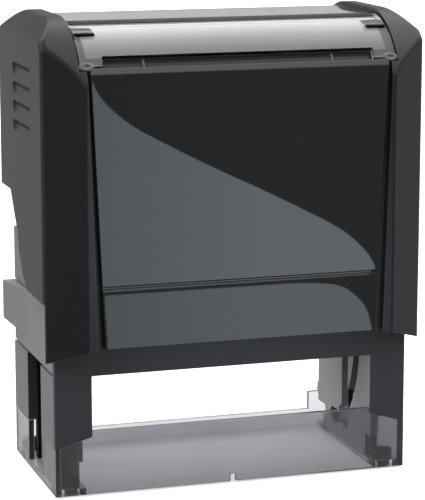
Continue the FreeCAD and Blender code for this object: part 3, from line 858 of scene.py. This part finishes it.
@dataclass
class Cap(Assembly):
    """Cap: shell, panels, index window and card, and the drive arms."""

    body: Body = Body.CAP
    shell_round: float = 0.35 * MM
    panel_round: float = 0.3 * MM
    window_round: float = 0.15 * MM
    card_round: float = 0.05 * MM
    arm_round: float = 0.2 * MM
    window_flat: float = 9.0 * MM
    window_radius: float = 16.2 * MM
    nub_x: float = 31.8 * MM
    nub_angle: float = math.radians(59.0)
    nub_radius: float = 15.85 * MM
    nub_lean: float = math.radians(66.0)
    nub_oval: Pair = (0.9, 0.52)
    rib_x: float = 19.8 * MM
    rib_angle: float = math.radians(57.0)
    rib_radius: float = 14.6 * MM
    rib_size: Point = (0.4 * MM, 2.8 * MM, 0.6 * MM)
    rib_round: float = 0.08 * MM
    recess_low: float = 87.9 * MM
    recess_high: float = 91.5 * MM
    recess_y: float = 19.0 * MM
    groove_wall: float = 39.5 * MM
    groove_low: float = 68.0 * MM
    groove_front: float = -12.0 * MM
    groove_rear: float = 6.0 * MM
    slight: float = 0.08
    line_angle: float = math.radians(6.5)
    line_width: float = 2.7 * MM
    line_end: float = 1.2 * MM
    line_depth: float = 0.45 * MM
    line_thickness: float = 0.06 * MM
    # Place and size of the dark bars that paint the shadow in the tab slits.
    slit_place: Point = (30.85 * MM, 15.2 * MM, 93.8 * MM)
    slit_size: Point = (4.2 * MM, 3.6 * MM, 0.56 * MM)

    def build(self) -> None:
        """Make and dress every piece of the cap."""
        plan = (("shell", "cap_shell", self.shell_round, Finishes.cap),
                ("front_gloss_panel", "front_panel", self.panel_round, Finishes.panel),
                ("rear_gloss_panel", "rear_panel", self.panel_round, Finishes.panel),
                ("clear_window", "index_window", self.window_round, Finishes.window),
                ("blank_card", "index_card", self.card_round, Finishes.card),
                ("arm_right", "drive_arm_right", self.arm_round, Finishes.hidden),
                ("arm_left", "drive_arm_left", self.arm_round, Finishes.hidden))
        for name, node, width, finish in plan:
            piece = self.mould(name, node, width, finish)
            if name == "shell":
                # Painted shade on the shell under the window's edge and in the finger grooves.
                self.face(piece, Finishes.recess_shade, self.takes_recess_shade)
        self.clip_nubs()
        self.bars("recess_ribs", 2, self.rib_x, self.window_curve(self.rib_angle, self.rib_radius),
                  self.rib_size, self.rib_angle, Finishes.nub, self.rib_round)
        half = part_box("index_window")[1].x
        self.bars("score_line", 1, 0.0,
                  self.window_curve(self.line_angle, self.window_radius - self.line_depth),
                  (2 * half - self.line_end, self.line_width, self.line_thickness), self.line_angle,
                  Finishes.line)
        # Dark bars under the tab slits: painted shadow in the slits.
        self.bars("slit_painted_shadow", 2, self.slit_place[0], self.slit_place[1:], self.slit_size, 0.0,
                  Finishes.hidden)

    def takes_recess_shade(self, middle: Vector, way: Vector) -> bool:
        """Tell whether a face of the shell gets painted shade: under the window's edge or in a finger
        groove's shade.

        Args:
            middle: Middle of the face.
            way: Its normal.

        Returns:
            True for such a face.
        """
        under_window = (self.recess_low < middle.z < self.recess_high and abs(middle.y) > self.recess_y
                        and abs(middle.x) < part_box("index_window")[1].x and way.z > self.slight)
        in_groove = (abs(middle.x) > self.groove_wall and self.groove_low < middle.z < self.recess_low
                     and abs(way.x) > 0.5 and way.z < -self.slight
                     and self.groove_front < middle.y < self.groove_rear)
        return under_window or in_groove

    def window_curve(self, angle: float, radius: float) -> Pair:
        """Give the Y and Z of a point on the window's curve, from its angle off the top and its radius."""
        middle_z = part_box("index_window")[1].z - self.window_radius
        return self.window_flat + radius * math.sin(angle), middle_z + radius * math.cos(angle)

    def clip_nubs(self) -> None:
        """Make the oval nub at the foot of each window tab."""
        profile = [(0.0, 0.34), (0.35, 0.36), (0.55, 0.48), (0.8, 0.62), (1.15, 0.66), (1.5, 0.58),
                   (1.75, 0.36), (1.85, 0.0), (1.8, -0.4), (0.0, -0.4)]
        reach, height = self.window_curve(self.nub_angle, self.nub_radius)
        flat = Matrix.Diagonal((*self.nub_oval, 1.0, 1.0))
        places = [Matrix.Translation((side.value * self.nub_x, front * reach, height))
                  @ Matrix.Rotation(-front * self.nub_lean, 4, "X") @ flat
                  for side in Side for front in (-1, 1)]
        nubs = turned("clip_nubs", [(radius * MM, top * MM) for radius, top in profile], places)
        self.fit(nubs, Finishes.nub)

    def bars(self, name: str, count: int, x: float, spot: Pair, size: Point, turn: float, finish: Finish,
             rounding: float = 0.0) -> None:
        """Make a row of bars along the cap, the same at the front and the rear.

        Args:
            name: Start of the pieces' names.
            count: Bars in each row.
            x: Distance of the last bar from the middle.
            spot: Distance of the rows from the middle plane, and their height.
            size: Size of each bar.
            turn: Angle that the bars lean outwards.
            finish: Finish of the bars.
            rounding: Width of their rounded edges.
        """
        for front, label in ((-1, "front"), (1, "rear")):
            self.row(name + "_" + label, finish, rounding, Count=count,
                           Start=(-x, front * spot[0], spot[1]), Step=(2 * x, 0.0, 0.0), Size=size,
                           Turn=-front * turn)


@dataclass
class LowerFrame(Assembly):
    """Lower frame: black inner frame, grey end frames, guide channels, clear skirt and feet."""

    body: Body = Body.FRAME
    edge_round: float = 0.25 * MM
    leg_inside: float = 25.0 * MM
    leg_top: float = 38.0 * MM
    slot_inside: float = 36.0 * MM
    slot_half: float = 6.4 * MM
    foot_radius: float = 2.1 * MM
    foot_edge: float = 0.3 * MM
    foot_groove: float = 0.18 * MM
    foot_dish: float = 0.12 * MM

    def build(self) -> None:
        """Make and dress every piece of the lower frame."""
        plan = [("black_frame", "inner_frame", Finishes.frame), ("clear_skirt", "clear_base", Finishes.skirt)]
        for side in Side:
            plan += [("end_moulding_" + side.label, "end_frame_" + side.label, Finishes.pale),
                     ("channel_" + side.label, "guide_channel_" + side.label, Finishes.hidden)]
        for name, node, finish in plan:
            piece = self.mould(name, node, self.edge_round, finish)
            if finish == Finishes.skirt:
                # The skirt's rear half gets the lighter tint: painted light.
                self.face(piece, Finishes.skirt_rear_painted_light, lambda middle, way: middle.y > 0.0)
            else:
                # Inward faces of the frame, end mouldings and channels get the lighter grey: painted light.
                self.face(piece, Finishes.inner_painted_light, self.takes_inner_light)
            # Side walls of the arm slots in the skirt and end mouldings get the frame's black: painted shade.
            if finish in (Finishes.skirt, Finishes.pale):
                self.face(piece, Finishes.frame, self.in_slot_shade)
        self.feet()

    def takes_inner_light(self, middle: Vector, way: Vector) -> bool:
        """Tell from a face's middle and normal whether it lines the opening between the legs, where it gets
        painted light.
        """
        return faces_middle(middle, way, 0) and abs(middle.x) > self.leg_inside and middle.z < self.leg_top

    def in_slot_shade(self, middle: Vector, way: Vector) -> bool:
        """Tell from a face's middle and normal whether it is a side wall of the slot for an arm, which gets
        painted shade.
        """
        return (faces_middle(middle, way, 1) and abs(middle.x) > self.slot_inside
                and abs(middle.y) < self.slot_half)

    def feet(self) -> None:
        """Make the four soft feet: turned plugs with a ring groove and a pip on top."""
        low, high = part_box("base_feet")
        radius, height = self.foot_radius, high.z - low.z
        edge, waist = self.foot_edge, self.foot_radius - self.foot_groove
        profile = [(0.0, self.foot_dish), (0.5 * radius, self.foot_dish), (0.6 * radius, 0.0),
                   (radius - edge, 0.0), (radius - 0.3 * edge, 0.3 * edge), (radius, edge),
                   (radius, 0.36 * height), (waist, 0.40 * height), (waist, 0.48 * height),
                   (radius, 0.52 * height), (radius, height - 1.6 * edge),
                   (radius - 0.5 * edge, height - 1.1 * edge), (radius - edge, height - edge),
                   (0.3 * radius, height - edge), (0.2 * radius, height), (0.0, height)]
        places = [Matrix.Translation((x, y, low.z)) for x in (low.x + radius, high.x - radius)
                  for y in (low.y + radius, high.y - radius)]
        self.fit(turned("soft_feet", profile, places), Finishes.foot, "base_feet")


@dataclass
class Die(Assembly):
    """Die: carrier, foam, rubber plate, axle and cam pins."""

    body: Body = Body.DIE
    carrier_round: float = 0.3 * MM
    plate_round: float = 0.1 * MM
    steel_round: float = 0.25 * MM
    rib_count: int = 11
    rib_margin: float = 3.0 * MM
    rib_size: Point = (0.8 * MM, 14.4 * MM, 0.8 * MM)
    rib_round: float = 0.15 * MM

    def build(self) -> None:
        """Make and dress every piece of the die."""
        plan = [("carrier", "die_carrier", self.carrier_round, Finishes.carrier),
                ("rubber_plate", "text_plate", self.plate_round, Finishes.plate),
                ("axle", "die_axle", self.steel_round, Finishes.steel)]
        plan += [("pin_" + side.label, "cam_pin_" + side.label, self.steel_round, Finishes.steel)
                 for side in Side]
        for name, node, width, finish in plan:
            self.mould(name, node, width, finish)
        foam = Pillow(crown=0.02 * MM, ripple=0.01 * MM, squareness=60.0).of("foam_layer", "foam_cushion")
        self.fit(foam, Finishes.foam, "foam_cushion")
        self.carrier_ribs()

    def carrier_ribs(self) -> None:
        """Make the cross ribs on the back of the carrier, which looks down at rest."""
        low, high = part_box("die_carrier")
        step = (high.x - low.x - 2 * self.rib_margin) / (self.rib_count - 1)
        self.row("carrier_ribs", Finishes.carrier, self.rib_round, Count=self.rib_count,
                       Start=(low.x + self.rib_margin, 0.0, low.z), Step=(step, 0.0, 0.0),
                       Size=self.rib_size, Turn=0.0)


@dataclass
class Cartridge(Assembly):
    """Ink cartridge: tray with its finger grips, and the pad."""

    body: Body = Body.CARTRIDGE
    tray_round: float = 0.3 * MM

    def build(self) -> None:
        """Make and dress the tray and the pad."""
        self.mould("tray_and_grips", "cartridge_tray", self.tray_round, Finishes.cartridge)
        pad = Pillow().of("felt_pad", "ink_pad")
        self.fit(pad, Finishes.felt, "ink_pad")


@dataclass
class ReturnSprings(Assembly):
    """The two return springs, which ride on the frame at one length."""

    body: Body = Body.FRAME
    wire: float = 0.45 * MM
    turns: float = 10.5
    stroke: float = 20.0 * MM

    def build(self) -> None:
        """Make both springs from one recipe."""
        recipe = coil_recipe()
        for side in Side:
            node = "spring_" + side.label
            low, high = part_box(node)
            middle = (low + high) / 2
            height = high.z - low.z
            coil = recipe.run("coil_" + side.label, {
                "Height": height, "Turns": self.turns, "Radius": (high.x - low.x) / 2 - self.wire,
                "Wire": self.wire, "Place": (middle.x, middle.y, low.z),
                "Material": Finishes.wire.material()})
            self.fit(coil, Finishes.wire, node)
            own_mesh(coil)


@dataclass
class Studio:
    """Pale floor, soft light and the camera."""

    azimuth: float = math.radians(-17.57)
    elevation: float = math.radians(11.06)
    distance: float = 0.4641
    target: Point = (0.0, -0.0037, 0.0464)
    lens: float = 158.57
    floor_reach: float = 3.0
    floor_drop: float = -0.3 * MM
    floor_glow: float = 0.45
    card_y: float = -0.100
    card_gap: float = 0.5 * MM
    card_tint: Tuple[float, ...] = (0.86, 0.93, 1.0, 1.0)
    card_dim: float = 0.72
    flag_glow: float = 0.2

    def build(self) -> None:
        """Make the whole studio."""
        self.camera()
        self.world()
        self.floor()
        self.cards()
        self.flags()
        bpy.context.scene.view_settings.view_transform = "Standard"

    def camera(self) -> None:
        """Put the camera at its viewing angle."""
        level = math.cos(self.elevation)
        back = Vector((math.sin(self.azimuth) * level, -math.cos(self.azimuth) * level,
                       math.sin(self.elevation)))
        data = bpy.data.cameras.new("camera")
        data.lens = self.lens
        data.sensor_width = 36.0
        data.clip_start = 0.01
        data.clip_end = 20.0
        camera = bpy.data.objects.new("camera", data)
        camera.location = Vector(self.target) + back * self.distance
        camera.rotation_mode = "QUATERNION"
        camera.rotation_quaternion = (-back).to_track_quat("-Z", "Y")
        bpy.context.scene.collection.objects.link(camera)
        bpy.context.scene.camera = camera

    def world(self) -> None:
        """Light the scene softly from above and from the right, with a dim front."""
        world = bpy.data.worlds.new("studio")
        world.use_nodes = True
        bpy.context.scene.world = world
        shader = Shader(world.node_tree)
        way = shader.axes(shader.node("ShaderNodeTexCoord").outputs["Generated"])
        up = shader.spread(way[2], 0.0, 1.0, 0.05, 0.85)
        right = shader.spread(way[0], 0.0, 1.0, 0.3, 1.0)
        front = shader.spread(way[1], 1.0, 0.0, -0.65, -0.05)
        added = shader.math("ADD", shader.math("MULTIPLY", up, 1.7), shader.math("MULTIPLY", right, 0.1))
        low_front = shader.math("MULTIPLY", front, shader.math("SUBTRACT", 1.0, up))
        dimmed = shader.math("SUBTRACT", 1.0, shader.math("MULTIPLY", low_front, 0.85))
        level = shader.math("MULTIPLY", shader.math("ADD", 0.5, added), dimmed)
        strength = shader.node("ShaderNodeMix", {0: self.seen_directly(shader), 2: level, 3: 1.0},
                               data_type="FLOAT")
        back = world.node_tree.nodes["Background"]
        shader.give(back.inputs["Color"], WHITE)
        shader.give(back.inputs["Strength"], strength.outputs[0])

    def seen_directly(self, shader: Shader) -> Socket:
        """Tell what is seen straight, or through clear plastic, from what only lights a surface.

        Args:
            shader: Helper of a tree on the stage.

        Returns:
            1 for a straight view and 0 for light.
        """
        path = shader.node("ShaderNodeLightPath").outputs
        straight = shader.math("LESS_THAN", path["Diffuse Depth"], 0.5)
        through = shader.math("MULTIPLY", path["Is Transmission Ray"], straight)
        return shader.math("MAXIMUM", path["Is Camera Ray"], through)

    def stand(self, name: str, corners: Sequence[Point]) -> Tuple[Piece, Shader, Socket]:
        """Make one flat thing of the stage, whose material casts no light by itself.

        Args:
            name: Name of the thing and of its material.
            corners: Its corners.

        Returns:
            The object, the helper of its material's tree and the input for its surface.
        """
        mesh = bpy.data.meshes.new(name)
        mesh.from_pydata(list(corners), [], [list(range(len(corners)))])
        material, shader = new_material(name)
        material.cycles.emission_sampling = "NONE"
        mesh.materials.append(material)
        return add_object(name, mesh), shader, material.node_tree.nodes["Material Output"].inputs["Surface"]

    def floor(self) -> None:
        """Lay the pale floor, which shows but lets the studio's light pass."""
        reach, drop = self.floor_reach, self.floor_drop
        floor, shader, surface = self.stand("floor", [
            (-reach, -reach, drop), (reach, -reach, drop), (reach, reach, drop), (-reach, reach, drop)])
        shader.surface({"Base Color": (0.8, 0.8, 0.8, 1.0), "Roughness": 0.9, "Emission Color": WHITE,
                        "Emission Strength": self.floor_glow})
        clear = shader.node("ShaderNodeBsdfTransparent").outputs[0]
        pale = shader.tree.nodes["Principled BSDF"].outputs[0]
        choice = shader.node("ShaderNodeMixShader", {0: self.seen_directly(shader), 1: clear, 2: pale})
        shader.give(surface, choice.outputs[0])

    def cards(self) -> None:
        """Stand bright cards with curved edges in front of a dark one, for the gloss panel to mirror."""
        slope = [(-12.4, 78.0), (-8.8, 71.6), (-2.0, 65.6), (7.5, 60.2), (17.7, 54.9), (30.0, 48.9),
                 (41.0, 43.3), (50.0, 38.3), (56.0, 33.2), (59.2, 28.4), (57.5, 26.6)]
        bend = [(39.0, 25.6), (50.0, 24.2), (56.5, 19.0), (58.8, 12.0)]
        outlines = (("bright_card", 0.0, 3.0, [(-9.5, 26.4), (-12.4, 40.0)] + smooth_line(slope, 12)),
                    ("lower_bright_card", 0.0, 2.6,
                     [(-8.0, 8.0), (-9.0, 25.6)] + smooth_line(bend, 8) + [(58.8, 8.0)]),
                    ("dark_card", self.card_gap, 0.28,
                     [(-70.0, 1.0), (-70.0, 110.0), (75.0, 110.0), (75.0, 1.0)]))
        for name, behind, strength, outline in outlines:
            self.mirrored(name, [(x * MM, self.card_y - behind, z * MM) for x, z in outline],
                          self.card_tint, strength, self.card_dim)

    def flags(self) -> None:
        """Hang dark flags: one between backdrop and ceiling light, one over the left front."""
        away, reach = 0.6, 1.6
        low, high = [away * math.tan(math.radians(angle)) for angle in (19.0, 41.0)]
        self.mirrored("gap_flag", [(-reach, away, low), (reach, away, low), (reach, away, high),
                                   (-reach, away, high)], WHITE, self.flag_glow)
        left, right, front, rear, top = -1.5, 0.14, -1.2, 0.35, 0.8
        self.mirrored("left_flag", [(left, front, top), (right, front, top), (right, rear, top),
                                    (left, rear, top)], WHITE, self.flag_glow)

    def mirrored(self, name: str, corners: Sequence[Point], tint: Tuple[float, ...], strength: float,
                 dim: float = 1.0) -> None:
        """Put up a glowing card that shows in reflections and nowhere else.

        Args:
            name: Name of the card.
            corners: Its corners.
            tint: Colour of its light.
            strength: Light that it gives off at its right end.
            dim: Share of that light at its left end.
        """
        card, shader, surface = self.stand(name, corners)
        shader.tree.nodes.remove(shader.tree.nodes["Principled BSDF"])
        level = shader.spread(shader.axes(shader.place())[0], dim * strength, strength, -0.015, 0.03)
        glow = shader.node("ShaderNodeEmission", {"Color": tint, "Strength": level})
        shader.give(surface, glow.outputs[0])
        card.visible_camera = False
        card.visible_diffuse = False
        card.visible_transmission = False
        card.visible_shadow = False


def smooth_line(points: Sequence[Pair], steps: int) -> List[Pair]:
    """Pass a smooth curve through a few points.

    Args:
        points: Points of the line, as pairs.
        steps: Pieces that each stretch is divided into.

    Returns:
        Points along the curve, with both ends.
    """
    ends = [points[0]] + list(points) + [points[-1]]
    line: List[Pair] = []
    for a, b, c, d in zip(ends, ends[1:], ends[2:], ends[3:]):
        for step in range(steps):
            t = step / steps
            line.append(tuple(0.5 * (2 * q + (r - p) * t + (2 * p - 5 * q + 4 * r - s) * t ** 2 +
                                     (3 * q - p - 3 * r + s) * t ** 3) for p, q, r, s in zip(a, b, c, d)))
    line.append(tuple(points[-1]))
    return line


def main() -> None:
    """Build the studio and every sub-assembly."""
    logging.basicConfig(level=logging.INFO, format="%(message)s")
    Studio().build()
    for assembly in (Cap, LowerFrame, Die, Cartridge, ReturnSprings):
        assembly().build()


if __name__ == "__main__":
    main()
